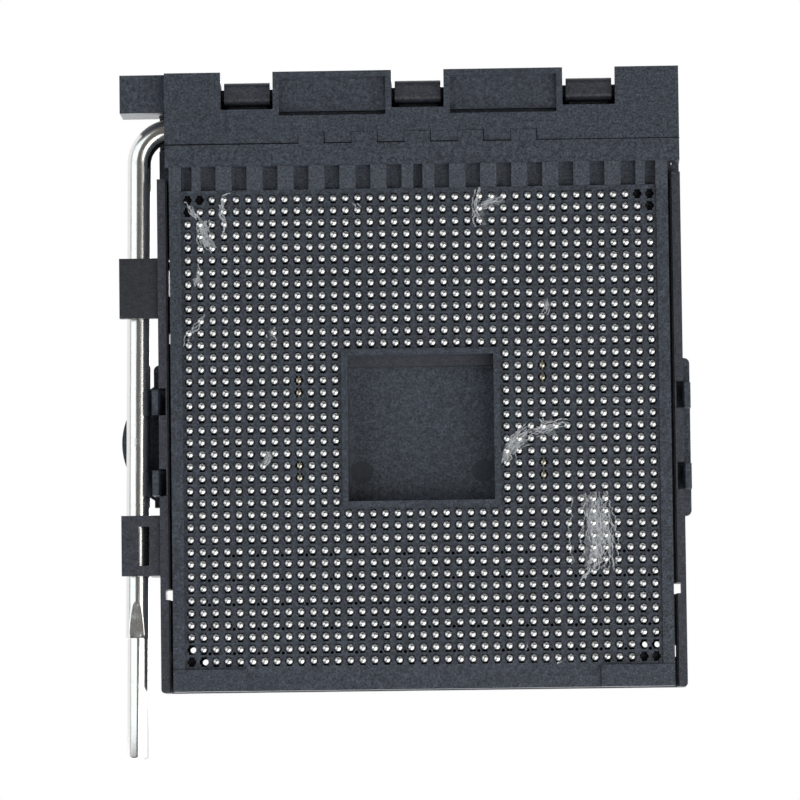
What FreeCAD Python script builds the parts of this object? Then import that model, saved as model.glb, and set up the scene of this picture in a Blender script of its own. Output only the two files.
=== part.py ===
import FreeCAD, Part
import math
import os
from FreeCAD import Vector

# A zero-insertion-force socket for a pin-grid package, in millimetres. The socket lies on its board
# with its solder balls down. The origin is the middle of the ball grid on the board face, +Z points
# away from the board, the cam head is at +Y and the lever lies along the +X side.

# Contact grid
PITCH = 1.0
GRID_COUNT = 39
VOID_COUNT = 13
BALL_WIDTH = 0.60
BALL_TIP = 0.02

# Cavity mouth: a tall slot crossed by a wider diamond, as the contact's tail needs
CAVITY_LENGTH = 0.78
CAVITY_WIDTH = 0.72
CAVITY_SLOT = 0.46
CAVITY_ROOF = 0.15
PIN_HOLE = 0.62

# Base housing
BASE_THICKNESS = 2.10
SIDE_BORDER = 1.50
FRONT_BORDER = 2.43
FIELD_RISE = 0.40
EDGE_RISE = 0.15
EDGE_WIDTH = 0.95
PAD_LENGTH = 6.00
PAD_DEPTH = 1.78
WINDOW = 12.00
WINDOW_RIM = 0.50
RIM_RISE = 0.20

# Row of core slots between the ball field and the cam head
HEAD_MARGIN = 0.75
SLOT_LENGTH = 1.95
SLOT_DEPTH = 0.90
SLOT_PITCH = 2.55
SLOT_FIRST = 1.96
SLOT_WIDE = 1.23
SLOT_MIDDLE = 0.76
SLOT_END = 0.88
SLOT_END_PLACE = 19.06
SLOTS_PER_SIDE = 7

# Cam head of the base
HEAD_DEPTH = 7.80
HEAD_TOP = 5.20
HEAD_LEVER_STEP = 0.32
HEAD_FAR_STEP = 1.01
FAR_CHEEK = 0.58
TONGUE_REACH = 1.40
NOTCH_PITCH = 14.08
NOTCH_SHIFT = -0.05
NOTCH_WIDTH = 4.31
NOTCH_DEPTH = 3.10
FRAME_RIM = 0.50
FRAME_RECESS = 0.60
FRAME_RECESS_DEPTH = 2.75
FRAME_SLOT = 0.39
FRAME_SLOT_TOP = 1.40
SEAM_PLACE = 2.30
SEAM_RISE = 0.05
SEAM_TEETH = 5
SEAM_TOOTH = 2.13
SEAM_TOOTH_PITCH = 4.37
SEAM_TOOTH_DEPTH = 1.00
LUG_REACH = 3.75
LUG_DEPTH = 3.15
LUG_RISE = 1.00

# Sliding cover
SLIDE_GAP = 0.05
COVER_PLATE = 1.30
COVER_LIP = 0.07
SKIRT_GAP = 0.33
SKIRT_WALL = 0.70
SKIRT_RISE = 0.55
RUN_GAP = 0.10
COVER_HEAD_FRONT = 20.40
COVER_HEAD_WALL = 0.99
COVER_EDGE = 0.30
COVER_WINDOW_FRONT = -6.20
COVER_WINDOW_REAR = 5.20
COVER_TRAVEL = 0.80
KNUCKLE_WIDTH = 3.76
KNUCKLE_DEPTH = 1.83
KNUCKLE_GAP = 0.50
KNUCKLE_RISE = 0.70
KNUCKLE_ROUND = 0.50
KNUCKLE_TOP = 4.60
SNAP_WINDOW_PLACE = -13.87
SNAP_WINDOW_LENGTH = 0.87
SNAP_WINDOW_WIDTH = 0.60
LIGHT_SLIT_PLACE = -19.00
LIGHT_SLIT_LENGTH = 0.95
LIGHT_SLIT_WIDTH = 0.13
PIN_MARK = 1.60
PIN_MARK_DEPTH = 0.15

# Ears of the cover that guide and catch the lever
EAR_REACH = 3.19
EAR_LENGTH = 4.95
EAR_RISE = 0.90
EAR_PLATE = 0.80
EAR_EDGE = 0.20
GUIDE_EAR_PLACE = 9.35
LATCH_EAR_PLACE = -11.86
LATCH_NOSE_TOP = 4.30
LATCH_NOSE_GAP = 0.08
LATCH_NOSE_SLOPE = 0.50
LATCH_WINDOW_GAP = 0.02
LATCH_WINDOW_WIDTH = 0.90
LATCH_WINDOW_LENGTH = 3.23
LATCH_WINDOW_PLACE = 0.83

# Lever, one bent steel wire with three small cranks in its shaft
WIRE = 1.95
SHAFT_PLACE = 3.36
SHAFT_HEIGHT = 2.75
SHAFT_END = 19.60
ARM_GAP = 0.555
ARM_SPLAY = 0.70
ARM_OVERHANG = 5.42
BEND_RADIUS = 2.82
SWING = 95.0
CRANK_LENGTH = 4.00
CRANK_JOG = 1.20
GRIP_LENGTH = 9.55
GRIP_WIDTH = 1.78
GRIP_SIDES = 8
GRIP_NOTCH_LENGTH = 3.00
GRIP_NOTCH_DEPTH = 0.30
TIP_CHAMFER = 0.20

# Steel wear plates round the shaft, and the plastic saddles that carry them
PLATE = 0.30
SHAFT_CLEARANCE = 0.06
LOWER_PLATE_LENGTH = 6.40
UPPER_PLATE_LENGTH = 3.20
CRANK_HEADROOM = 0.10
SADDLE_WALL = 0.80
SADDLE_TOP = 3.30
END_SADDLE = 2.00
DRIVE_BLOCK_RISE = 2.35

# Pick-up cap clipped over the cover
CAP_FRONT = -7.35
CAP_REAR = 5.68
CAP_CORNER = 0.45
CAP_CUT = 1.25
CAP_REST_GAP = 0.03
CAP_PAD = 0.37
CAP_PLATE = 0.80
CAP_PAD_INSET = 0.45
CAP_DISC = 11.00
CAP_RIB = 0.80
CAP_RIB_HEIGHT = 0.45
CAP_RIB_INSET = 2.20
CAP_MARK_WIDTH = 1.90
CAP_MARK_DEPTH = 0.05
CAP_MARK_SPAN = 10.04
CAP_MARK_PLACE = -3.40
TAB_RADIUS = 5.50
TAB_REACH = 24.80
TAB_PLACE = -0.80
CLIP_THICKNESS = 0.50
CLIP_RISE = 1.00
CLIP_GAP = 0.10
CLIP_REAR_PLACE = 1.40
CLIP_FRONT_PLACE = -5.25
CLIP_LENGTH = 2.05
CLIP_POCKET = 0.57
CLIP_POCKET_GAP = 0.10

# A contact seen at the eight sites that have no ball
CONTACT_THICKNESS = 0.12
FOOT_WIDTH = 0.40
FOOT_LENGTH = 0.34
FOOT_THICKNESS = 0.13
FOOT_RISE = 0.02
CONTACT_HEIGHT = 1.45
BARB_RISE = 0.35
BARB_HEIGHT = 0.40
FINGER_HEIGHT = 0.55

# Sites without a ball, as (column, row) counted from the middle of the grid along +X and +Y
EDGE_SITE = GRID_COUNT // 2
CLOSED_SITES = [(EDGE_SITE, EDGE_SITE), (EDGE_SITE - 1, EDGE_SITE), (EDGE_SITE, EDGE_SITE - 1),
                (-EDGE_SITE, EDGE_SITE), (1 - EDGE_SITE, EDGE_SITE), (-EDGE_SITE, EDGE_SITE - 1),
                (EDGE_SITE, -EDGE_SITE), (-EDGE_SITE, -EDGE_SITE), (1 - EDGE_SITE, -EDGE_SITE)]
OPEN_SITES = [(EDGE_SITE, 1 - EDGE_SITE), (EDGE_SITE - 1, -EDGE_SITE),
              (-EDGE_SITE, 1 - EDGE_SITE), (1 - EDGE_SITE, 1 - EDGE_SITE)]
BARE_SITES = [(-10, 5), (-10, 4), (-10, -3), (-10, -4), (10, 4), (10, 3), (10, -3), (10, -4)]

# Places worked out from the sizes above
half_grid = PITCH * (GRID_COUNT - 1) / 2
half_window = WINDOW / 2
base_half = half_grid + SIDE_BORDER
front_y = -half_grid - FRONT_BORDER
slots_y = half_grid + HEAD_MARGIN
head_y = slots_y + SLOT_LENGTH
rear_y = head_y + HEAD_DEPTH
lever_side_x = base_half + HEAD_LEVER_STEP
far_side_x = -base_half - HEAD_FAR_STEP
notch_y = rear_y - NOTCH_DEPTH
notch_xs = [NOTCH_SHIFT + k * NOTCH_PITCH for k in (-1, 0, 1)]
frame_xs = [NOTCH_SHIFT - NOTCH_PITCH / 2, NOTCH_SHIFT + NOTCH_PITCH / 2]

wire_radius = WIRE / 2
shaft_y = head_y + SHAFT_PLACE
crank_offset = COVER_TRAVEL / 2 / math.sin(math.radians(SWING / 2))
crank_y = shaft_y - COVER_TRAVEL / 2
crank_z = SHAFT_HEIGHT + crank_offset * math.cos(math.radians(SWING / 2))
crank_high = SHAFT_HEIGHT + crank_offset

cover_z = BASE_THICKNESS + SLIDE_GAP
cover_top = cover_z + COVER_PLATE
skirt_in = base_half + SKIRT_GAP
skirt_out = skirt_in + SKIRT_WALL
cover_front = front_y - COVER_LIP
skirt_end = head_y - COVER_TRAVEL - RUN_GAP
cheek_x = skirt_out - SLIDE_GAP

arm_x = skirt_out + ARM_GAP + wire_radius
bend_turn = 90 - ARM_SPLAY
bend_setback = BEND_RADIUS * math.tan(math.radians(bend_turn / 2))
bend_x = arm_x - bend_setback
bore_radius = wire_radius + SHAFT_CLEARANCE
saddle_half = bore_radius + PLATE + SADDLE_WALL
trough_front = shaft_y - saddle_half - COVER_TRAVEL - RUN_GAP
trough_rear = shaft_y + saddle_half + RUN_GAP
cover_rear = trough_rear + COVER_HEAD_WALL
hold_down_z = SHAFT_HEIGHT + wire_radius + CRANK_HEADROOM
crank_roof_z = crank_high + wire_radius + CRANK_HEADROOM
crank_reach = CRANK_LENGTH / 2 + CRANK_JOG

cap_z = cover_top + CAP_REST_GAP
cap_flange_z = cap_z + CAP_PAD
cap_top_z = cap_flange_z + CAP_PLATE
cap_half_length = skirt_out + CLIP_GAP + CLIP_THICKNESS


def box(x0, x1, y0, y1, z0, z1):
    return Part.makeBox(x1 - x0, y1 - y0, z1 - z0, Vector(x0, y0, z0))


def prism(points, z0, z1):
    corners = [Vector(x, y, z0) for x, y in points]
    outline = Part.makePolygon(corners + [corners[0]])
    return Part.Face(outline).extrude(Vector(0, 0, z1 - z0))


def rod(radius, x0, x1, y, z):
    return Part.makeCylinder(radius, x1 - x0, Vector(x0, y, z), Vector(1, 0, 0))


def joined(first, others):
    return first.fuse(others).removeSplitter()


def both_sides(solid):
    return [solid, solid.mirror(Vector(0, 0, 0), Vector(1, 0, 0))]


def rounded_vertical(solid, radius, wanted):
    """Round the upright edges whose ends pass the test, given as x and y."""
    edges = []
    for edge in solid.Edges:
        start, end = edge.Vertexes[0].Point, edge.Vertexes[-1].Point
        upright = abs(start.x - end.x) < 1e-6 and abs(start.y - end.y) < 1e-6
        if upright and wanted(start.x, start.y):
            edges.append(edge)
    return solid.makeFillet(radius, edges)


def cavity_outline(site):
    """Mouth of one contact cavity: a slot along Y crossed by a flat diamond."""
    x, y = site[0] * PITCH, site[1] * PITCH
    slot, wide, tall = CAVITY_SLOT / 2, CAVITY_WIDTH / 2, CAVITY_LENGTH / 2
    quarter = [(slot, tall), (slot, slot), (wide, slot / 2)]
    right = quarter + [(px, -py) for px, py in reversed(quarter)]
    left = [(-px, -py) for px, py in right]
    return [(x + px, y + py) for px, py in right + left]


def slot_spans():
    """Width and place of each core slot in front of the cam head, from one side to the other."""
    spans = [(0.0, SLOT_MIDDLE)]
    for side in (-1, 1):
        spans += [(side * (SLOT_FIRST + k * SLOT_PITCH), SLOT_WIDE) for k in range(SLOTS_PER_SIDE)]
        spans.append((side * SLOT_END_PLACE, SLOT_END))
    return spans


def seam_step():
    """Shallow step in front of the head's toothed parting line."""
    line_y = head_y + SEAM_PLACE
    points = [(far_side_x, head_y), (far_side_x, line_y)]
    first = -SEAM_TOOTH_PITCH * (SEAM_TEETH - 1) / 2
    for k in range(SEAM_TEETH):
        middle = first + k * SEAM_TOOTH_PITCH
        left, right = middle - SEAM_TOOTH / 2, middle + SEAM_TOOTH / 2
        points += [(left, line_y), (left, line_y + SEAM_TOOTH_DEPTH)]
        points += [(right, line_y + SEAM_TOOTH_DEPTH), (right, line_y)]
    points += [(lever_side_x, line_y), (lever_side_x, head_y)]
    return prism(points, 0, SEAM_RISE)


def base_plate():
    """Floor of the housing: ball field, side edges, front pads and the rim of the window."""
    plate = box(-base_half, base_half, front_y, head_y, FIELD_RISE, BASE_THICKNESS)
    edge = box(base_half - EDGE_WIDTH, base_half, front_y, slots_y, EDGE_RISE, FIELD_RISE)
    pad = box(base_half - PAD_LENGTH, base_half, front_y, front_y + PAD_DEPTH, 0, FIELD_RISE)
    rim_half = half_window + WINDOW_RIM
    rim = box(-rim_half, rim_half, -rim_half, rim_half, RIM_RISE, FIELD_RISE)
    slot_row = box(-base_half, base_half, slots_y, head_y, 0, FIELD_RISE)
    plate = joined(plate, both_sides(edge) + both_sides(pad) + [rim, slot_row])
    window = box(-half_window, half_window, -half_window, half_window, 0, BASE_THICKNESS)
    slots = [box(x - width / 2, x + width / 2, slots_y, head_y, 0, SLOT_DEPTH)
             for x, width in slot_spans()]
    return plate.cut([window] + slots)


def saddle_block(x0, x1):
    return box(x0, x1, shaft_y - saddle_half, shaft_y + saddle_half, BASE_THICKNESS, SADDLE_TOP)


def saddle_groove(x0, x1, radius):
    open_top = box(x0, x1, shaft_y - radius, shaft_y + radius, SHAFT_HEIGHT, HEAD_TOP)
    return rod(radius, x0, x1, shaft_y, SHAFT_HEIGHT).fuse(open_top)


def end_saddle_spans():
    """Stretches of plain bearing at the two ends of the shaft."""
    start = notch_xs[2] + crank_reach + RUN_GAP
    return [(start, start + END_SADDLE), (-start - END_SADDLE, -start)]


def lower_plate_spans():
    return [(x - LOWER_PLATE_LENGTH / 2, x + LOWER_PLATE_LENGTH / 2) for x in frame_xs]


def journal_spans():
    """Stretches where the shaft runs on its own axis between and beside the cranks."""
    reach = CRANK_LENGTH / 2
    return [(-SHAFT_END - RUN_GAP, notch_xs[0] - reach), (notch_xs[0] + reach, notch_xs[1] - reach),
            (notch_xs[1] + reach, notch_xs[2] - reach), (notch_xs[2] + reach, lever_side_x)]


def head_frame_recess(x):
    """Framed recess under the head between two notches, with a deep slot at its front."""
    half = (NOTCH_PITCH - NOTCH_WIDTH) / 2 - FRAME_RIM
    back = rear_y - FRAME_RIM
    front = back - FRAME_RECESS_DEPTH
    recess = box(x - half, x + half, front, back, 0, FRAME_RECESS)
    slot = box(x - half, x + half, front - FRAME_SLOT, front, 0, FRAME_SLOT_TOP)
    return recess.fuse(slot)


def cheek_ends():
    """Upper side walls beside the cover's head; they reach forward over the gap the skirt slides in."""
    front = head_y - TONGUE_REACH
    low = cover_top + RUN_GAP
    inner = base_half + SLIDE_GAP
    far = box(far_side_x, -inner, front, head_y, low, HEAD_TOP)
    lever_front = box(inner, cheek_x, front, head_y, low, HEAD_TOP)
    lever_wall = box(lever_side_x, cheek_x, head_y, rear_y - LUG_DEPTH, low, HEAD_TOP)
    bend_inner = BEND_RADIUS - wire_radius
    rise = bend_inner - math.sqrt(bend_inner ** 2 - (cheek_x - bend_x) ** 2)
    reach = wire_radius + 2 * RUN_GAP
    arch = box(lever_side_x, cheek_x, shaft_y - reach - rise, shaft_y + reach,
               low, SHAFT_HEIGHT + reach + rise)
    return [far, lever_front, lever_wall.cut(arch)]


def base_head():
    """Cam head: floor under the shaft, saddles, notches for the cover's knuckles, cheeks and lug."""
    floor = box(far_side_x, lever_side_x, head_y, rear_y, 0, BASE_THICKNESS)
    far_cheek = box(far_side_x, far_side_x + FAR_CHEEK, head_y, rear_y, BASE_THICKNESS, HEAD_TOP)
    blocks = [saddle_block(*span) for span in lower_plate_spans() + end_saddle_spans()]
    lug = box(lever_side_x, lever_side_x + LUG_REACH, rear_y - LUG_DEPTH, rear_y, LUG_RISE, HEAD_TOP)
    head = joined(floor, [far_cheek, lug] + cheek_ends() + blocks)
    half = NOTCH_WIDTH / 2
    cuts = [box(x - half, x + half, notch_y, rear_y, 0, BASE_THICKNESS) for x in notch_xs]
    cuts += [head_frame_recess(x) for x in frame_xs]
    cuts += [saddle_groove(*span, bore_radius + PLATE) for span in lower_plate_spans()]
    cuts += [saddle_groove(*span, bore_radius) for span in end_saddle_spans()]
    cuts += [rod(bore_radius, *span, shaft_y, SHAFT_HEIGHT) for span in journal_spans()]
    return head.cut(cuts + [seam_step()])


def base_housing():
    housing = joined(base_plate(), [base_head()])
    roof = BASE_THICKNESS - CAVITY_ROOF
    closed = [prism(cavity_outline(site), FIELD_RISE, roof) for site in CLOSED_SITES + BARE_SITES]
    opened = [prism(cavity_outline(site), FIELD_RISE, BASE_THICKNESS) for site in OPEN_SITES]
    return housing.cut(closed + opened)


def arm_inner(y):
    """The side of the splayed arm that faces the skirt, at one place along it."""
    return arm_x + (shaft_y - y) * math.tan(math.radians(ARM_SPLAY)) - wire_radius


def ear(place):
    """Shelf beside the skirt that the lever's arm rests over, bevelled at its outer edge."""
    reach = skirt_out + EAR_REACH
    shelf = box(skirt_out, reach, place, place + EAR_LENGTH, EAR_RISE, EAR_RISE + EAR_PLATE)
    outer = [edge for edge in shelf.Edges
             if all(abs(v.X - reach) < 1e-6 and abs(v.Z - EAR_RISE - EAR_PLATE) < 1e-6
                    for v in edge.Vertexes)]
    return shelf.makeChamfer(EAR_EDGE, outer)


def latch_ear():
    """Ear with the catch that the arm is pushed past; a core window shows under the arm."""
    end = LATCH_EAR_PLACE + EAR_LENGTH
    nose_x = arm_inner(end) - LATCH_NOSE_GAP
    slope = LATCH_NOSE_SLOPE
    nose = [(skirt_out, EAR_RISE), (nose_x, EAR_RISE), (nose_x, LATCH_NOSE_TOP - slope),
            (nose_x - slope / 2, LATCH_NOSE_TOP), (skirt_out - SKIRT_WALL, LATCH_NOSE_TOP),
            (skirt_out - SKIRT_WALL, cover_z), (skirt_out, cover_z)]
    corners = [Vector(x, LATCH_EAR_PLACE, z) for x, z in nose]
    catch = Part.Face(Part.makePolygon(corners + [corners[0]])).extrude(Vector(0, EAR_LENGTH, 0))
    window_x = nose_x + LATCH_WINDOW_GAP
    window_y = LATCH_EAR_PLACE + LATCH_WINDOW_PLACE
    window = box(window_x, window_x + LATCH_WINDOW_WIDTH, window_y, window_y + LATCH_WINDOW_LENGTH,
                 EAR_RISE, EAR_RISE + EAR_PLATE)
    return ear(LATCH_EAR_PLACE).fuse(catch).cut(window)


def knuckle(x):
    """Rear hook of the cover that hangs into a notch of the base, rounded under."""
    front = notch_y + KNUCKLE_GAP
    block = box(x - KNUCKLE_WIDTH / 2, x + KNUCKLE_WIDTH / 2, front, front + KNUCKLE_DEPTH,
                KNUCKLE_RISE, KNUCKLE_TOP)
    under = [edge for edge in block.Edges
             if all(abs(v.Z - KNUCKLE_RISE) < 1e-6 for v in edge.Vertexes)
             and abs(edge.Vertexes[0].Y - edge.Vertexes[1].Y) < 1e-6]
    return block.makeFillet(KNUCKLE_ROUND, under)


def head_trough():
    """Room under the cover's head for the shaft, its saddles and its cranks."""
    room = box(far_side_x + FAR_CHEEK, lever_side_x, trough_front, trough_rear, cover_z, hold_down_z)
    deep = [box(x - crank_reach - RUN_GAP, x + crank_reach + RUN_GAP, trough_front, trough_rear,
                cover_z, crank_roof_z + PLATE) for x in notch_xs]
    return room.fuse(deep)


def drive_blocks():
    """Solid stops in the trough that seat the upper wear plates before and behind each crank."""
    blocks = []
    reach = bore_radius + PLATE
    top = crank_roof_z + PLATE
    for x in notch_xs:
        x0, x1 = x - UPPER_PLATE_LENGTH / 2, x + UPPER_PLATE_LENGTH / 2
        blocks.append(box(x0, x1, trough_front, crank_y - reach, DRIVE_BLOCK_RISE, top))
        blocks.append(box(x0, x1, crank_y + reach, trough_rear, DRIVE_BLOCK_RISE, top))
    return blocks


def cover_head():
    x0 = far_side_x + FAR_CHEEK + RUN_GAP
    x1 = lever_side_x - RUN_GAP
    head = box(x0, x1, COVER_HEAD_FRONT, cover_rear, cover_z, HEAD_TOP)
    ridge = [edge for edge in head.Edges
             if all(abs(v.Z - HEAD_TOP) < 1e-6 for v in edge.Vertexes)
             and abs(edge.Vertexes[0].Y - edge.Vertexes[1].Y) < 1e-6]
    head = head.makeChamfer(COVER_EDGE, ridge)
    tongue_x = base_half - SLIDE_GAP
    room = [box(sx0, sx1, COVER_HEAD_FRONT, head_y + RUN_GAP, cover_top, HEAD_TOP)
            for sx0, sx1 in ((x0, -tongue_x), (tongue_x, x1))]
    return joined(head.cut([head_trough()] + room), drive_blocks() + [knuckle(x) for x in notch_xs])


def clip_pocket(place):
    return box(skirt_out - CLIP_POCKET, skirt_out, place - CLIP_POCKET_GAP,
               place + CLIP_LENGTH + CLIP_POCKET_GAP, SKIRT_RISE, cover_top)


def cover_plate():
    plate = box(-skirt_out, skirt_out, cover_front, skirt_end, cover_z, cover_top)
    skirt = box(skirt_in, skirt_out, cover_front, skirt_end, SKIRT_RISE, cover_z)
    plate = joined(plate, both_sides(skirt))
    plate = rounded_vertical(plate, COVER_EDGE, lambda x, y: abs(y - cover_front) < 1e-6
                             and abs(abs(x) - skirt_out) < 1e-6)
    window = box(-half_window, half_window, COVER_WINDOW_FRONT, COVER_WINDOW_REAR, cover_z, cover_top)
    snap = box(base_half, base_half + SNAP_WINDOW_WIDTH, SNAP_WINDOW_PLACE,
               SNAP_WINDOW_PLACE + SNAP_WINDOW_LENGTH, SKIRT_RISE, cover_top)
    slit = box(base_half, base_half + LIGHT_SLIT_WIDTH, LIGHT_SLIT_PLACE,
               LIGHT_SLIT_PLACE + LIGHT_SLIT_LENGTH, cover_z, cover_top)
    pockets = [clip_pocket(CLIP_REAR_PLACE), clip_pocket(CLIP_FRONT_PLACE)]
    cuts = [window]
    for cut in [snap, slit] + pockets:
        cuts += both_sides(cut)
    holes = [Part.makeCylinder(PIN_HOLE / 2, COVER_PLATE, Vector(i * PITCH, j * PITCH, cover_z))
             for i, j in OPEN_SITES]
    corner = (-skirt_out + PIN_MARK, cover_front + PIN_MARK)
    mark = prism([(corner[0] - PIN_MARK / 2, corner[1] - PIN_MARK / 2),
                  (corner[0] + PIN_MARK / 2, corner[1] - PIN_MARK / 2),
                  (corner[0] - PIN_MARK / 2, corner[1] + PIN_MARK / 2)],
                 cover_top - PIN_MARK_DEPTH, cover_top)
    return plate.cut(cuts + holes + [mark])


def sliding_cover():
    return joined(cover_plate(), [cover_head(), ear(GUIDE_EAR_PLACE), latch_ear()])


def shaft():
    """Straight run of the wire with its three cranks, mitred where it turns."""
    corners = [Vector(-SHAFT_END, shaft_y, SHAFT_HEIGHT)]
    for x in notch_xs:
        inner, outer = CRANK_LENGTH / 2, crank_reach
        corners += [Vector(x - outer, shaft_y, SHAFT_HEIGHT), Vector(x - inner, crank_y, crank_z),
                    Vector(x + inner, crank_y, crank_z), Vector(x + outer, shaft_y, SHAFT_HEIGHT)]
    corners.append(Vector(bend_x, shaft_y, SHAFT_HEIGHT))
    section = Part.Wire(Part.Circle(corners[0], Vector(1, 0, 0), wire_radius).toShape())
    return Part.makePolygon(corners).makePipeShell([section], True, False, 1)


def elbow():
    """Bend from the shaft to the arm."""
    start = Vector(bend_x, shaft_y, SHAFT_HEIGHT)
    section = Part.Face(Part.Wire(Part.Circle(start, Vector(1, 0, 0), wire_radius).toShape()))
    return section.revolve(start - Vector(0, BEND_RADIUS, 0), Vector(0, 0, -1), bend_turn)


def grip(start_y):
    """Coined end of the arm: flats instead of the round wire, with a bevelled tip."""
    ring = []
    for k in range(GRIP_SIDES):
        angle = math.pi * (2 * k + 1) / GRIP_SIDES
        ring.append(Vector(arm_x + GRIP_WIDTH / 2 * math.cos(angle) / math.cos(math.pi / GRIP_SIDES), start_y,
                           SHAFT_HEIGHT + wire_radius * math.sin(angle)))
    length = GRIP_LENGTH - TIP_CHAMFER
    body = Part.Face(Part.makePolygon(ring + [ring[0]])).extrude(Vector(0, -length, 0))
    tip_y = start_y - length
    wide = [Vector(p.x, tip_y, p.z) for p in ring]
    centre = Vector(arm_x, tip_y - TIP_CHAMFER, SHAFT_HEIGHT)
    shrink = (wire_radius - TIP_CHAMFER) / wire_radius
    narrow = [centre + (p - Vector(arm_x, tip_y, SHAFT_HEIGHT)) * shrink for p in wide]
    tip = Part.makeLoft([Part.makePolygon(wide + [wide[0]]), Part.makePolygon(narrow + [narrow[0]])],
                        True, True)
    return body.fuse(tip)


def lever():
    """Cranked shaft, bend and splayed arm of one wire, with a flattened grip at the arm's end."""
    grip_y = front_y - ARM_OVERHANG + GRIP_LENGTH
    arm_y = shaft_y - bend_setback
    arm = Part.makeCylinder(wire_radius, arm_y - grip_y, Vector(arm_x, grip_y, SHAFT_HEIGHT), Vector(0, 1, 0))
    notch = [(grip_y + GRIP_NOTCH_LENGTH, 0), (grip_y, GRIP_NOTCH_DEPTH), (grip_y - WIRE, -WIRE),
             (grip_y + GRIP_NOTCH_LENGTH, -WIRE)]
    low = SHAFT_HEIGHT - wire_radius
    profile = [Vector(arm_x - WIRE, y, low + z) for y, z in notch]
    cutter = Part.Face(Part.makePolygon(profile + [profile[0]])).extrude(Vector(2 * WIRE, 0, 0))
    arm = joined(arm.cut(cutter), [grip(grip_y)])
    arm.rotate(Vector(arm_x, shaft_y, SHAFT_HEIGHT), Vector(0, 0, 1), ARM_SPLAY)
    return joined(shaft(), [elbow(), arm])


def lower_plate(span):
    """Cradle of folded strip that lines a saddle under the shaft."""
    outer = rod(bore_radius + PLATE, *span, shaft_y, SHAFT_HEIGHT)
    reach = bore_radius + PLATE
    sides = box(*span, shaft_y - reach, shaft_y + reach, SHAFT_HEIGHT, SADDLE_TOP)
    above = box(*span, shaft_y - reach, shaft_y + reach, SADDLE_TOP, HEAD_TOP)
    bore = saddle_groove(*span, bore_radius)
    return outer.fuse(sides).cut([above, bore]).removeSplitter()


def upper_plate(x):
    """Folded channel over a crank, through which the lever pushes the cover."""
    x0, x1 = x - UPPER_PLATE_LENGTH / 2, x + UPPER_PLATE_LENGTH / 2
    reach = bore_radius + PLATE
    outer = box(x0, x1, crank_y - reach, crank_y + reach, DRIVE_BLOCK_RISE, crank_roof_z + PLATE)
    inner = box(x0, x1, crank_y - bore_radius, crank_y + bore_radius, DRIVE_BLOCK_RISE, crank_roof_z)
    return outer.cut(inner)


def clip(place, side):
    """Leg of the cap beside the skirt; its toe reaches into the skirt's pocket."""
    inner = skirt_out + CLIP_GAP
    outer = inner + CLIP_THICKNESS
    toe = inner - 2 * CLIP_GAP
    rise = CLIP_RISE + CLIP_THICKNESS
    outline = [(outer, cap_flange_z), (outer, CLIP_RISE), (inner, CLIP_RISE), (toe, rise),
               (inner, rise + CLIP_THICKNESS), (inner, cap_flange_z)]
    corners = [Vector(side * x, place, z) for x, z in outline]
    return Part.Face(Part.makePolygon(corners + [corners[0]])).extrude(Vector(0, CLIP_LENGTH, 0))


def pickup_cap():
    """Flat strip over the socket that a vacuum nozzle lifts, with four clips and a finger tab."""
    plate = box(-cap_half_length, cap_half_length, CAP_FRONT, CAP_REAR, cap_flange_z, cap_top_z)
    plate = rounded_vertical(plate, CAP_CORNER, lambda x, y: not (x > 0 and y < 0))
    cut = box(skirt_in - RUN_GAP, cap_half_length, CAP_FRONT, CAP_FRONT + CAP_CUT, cap_flange_z, cap_top_z)
    lobe = Part.makeCylinder(TAB_RADIUS, CAP_PLATE, Vector(TAB_REACH - TAB_RADIUS, TAB_PLACE, cap_flange_z))
    pad_half = base_half - CAP_PAD_INSET
    pad = box(-pad_half, pad_half, CAP_FRONT + CAP_PAD_INSET, CAP_REAR - CAP_PAD_INSET, cap_z, cap_flange_z)
    rib_half = cap_half_length - CAP_RIB_INSET
    rib_top = cap_top_z + CAP_RIB_HEIGHT
    ribs = [box(-rib_half, rib_half, y, y + CAP_RIB, cap_top_z, rib_top)
            for y in (CAP_FRONT + CAP_RIB, CAP_REAR - 2 * CAP_RIB)]
    middle_y = (CAP_FRONT + CAP_REAR) / 2
    disc = Part.makeCylinder(CAP_DISC / 2, CAP_RIB_HEIGHT, Vector(0, middle_y, cap_top_z))
    clips = [clip(place, side) for place in (CLIP_REAR_PLACE, CLIP_FRONT_PLACE) for side in (-1, 1)]
    marks = [Part.makeCylinder(CAP_MARK_WIDTH / 2, CAP_MARK_DEPTH, Vector(x, CAP_MARK_PLACE, cap_z))
             for x in (-CAP_MARK_SPAN / 2, CAP_MARK_SPAN / 2)]
    return joined(plate.cut(cut), [lobe, pad, disc] + ribs + clips).cut(marks)


def solder_ball(column, row):
    """One ball's share below the field face, drawn as a four-sided point."""
    x, y, half = column * PITCH, row * PITCH, BALL_WIDTH / 2
    ring = [Vector(x + sx * half, y + sy * half, FIELD_RISE)
            for sx, sy in ((-1, -1), (-1, 1), (1, 1), (1, -1))]
    tip = Vector(x, y, BALL_TIP)
    faces = [Part.Face(Part.makePolygon(ring + [ring[0]]))]
    for k in range(4):
        faces.append(Part.Face(Part.makePolygon([ring[(k + 1) % 4], ring[k], tip, ring[(k + 1) % 4]])))
    return Part.makeSolid(Part.makeShell(faces))


def ball_banks():
    """The balls in eight square banks round the window, by bank name."""
    columns = {"far": -1, "middle": 0, "lever": 1}
    rows = {"front": -1, "centre": 0, "head": 1}
    empty = set(CLOSED_SITES + OPEN_SITES + BARE_SITES)
    reach = VOID_COUNT // 2
    banks = {}
    for row_name, row in rows.items():
        for column_name, column in columns.items():
            sites = [(column * VOID_COUNT + i, row * VOID_COUNT + j)
                     for i in range(-reach, reach + 1) for j in range(-reach, reach + 1)]
            balls = [solder_ball(*site) for site in sites if site not in empty]
            if (row, column) != (0, 0):
                banks[f"solder_balls_{row_name}_{column_name}"] = Part.Compound(balls)
    return banks


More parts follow.
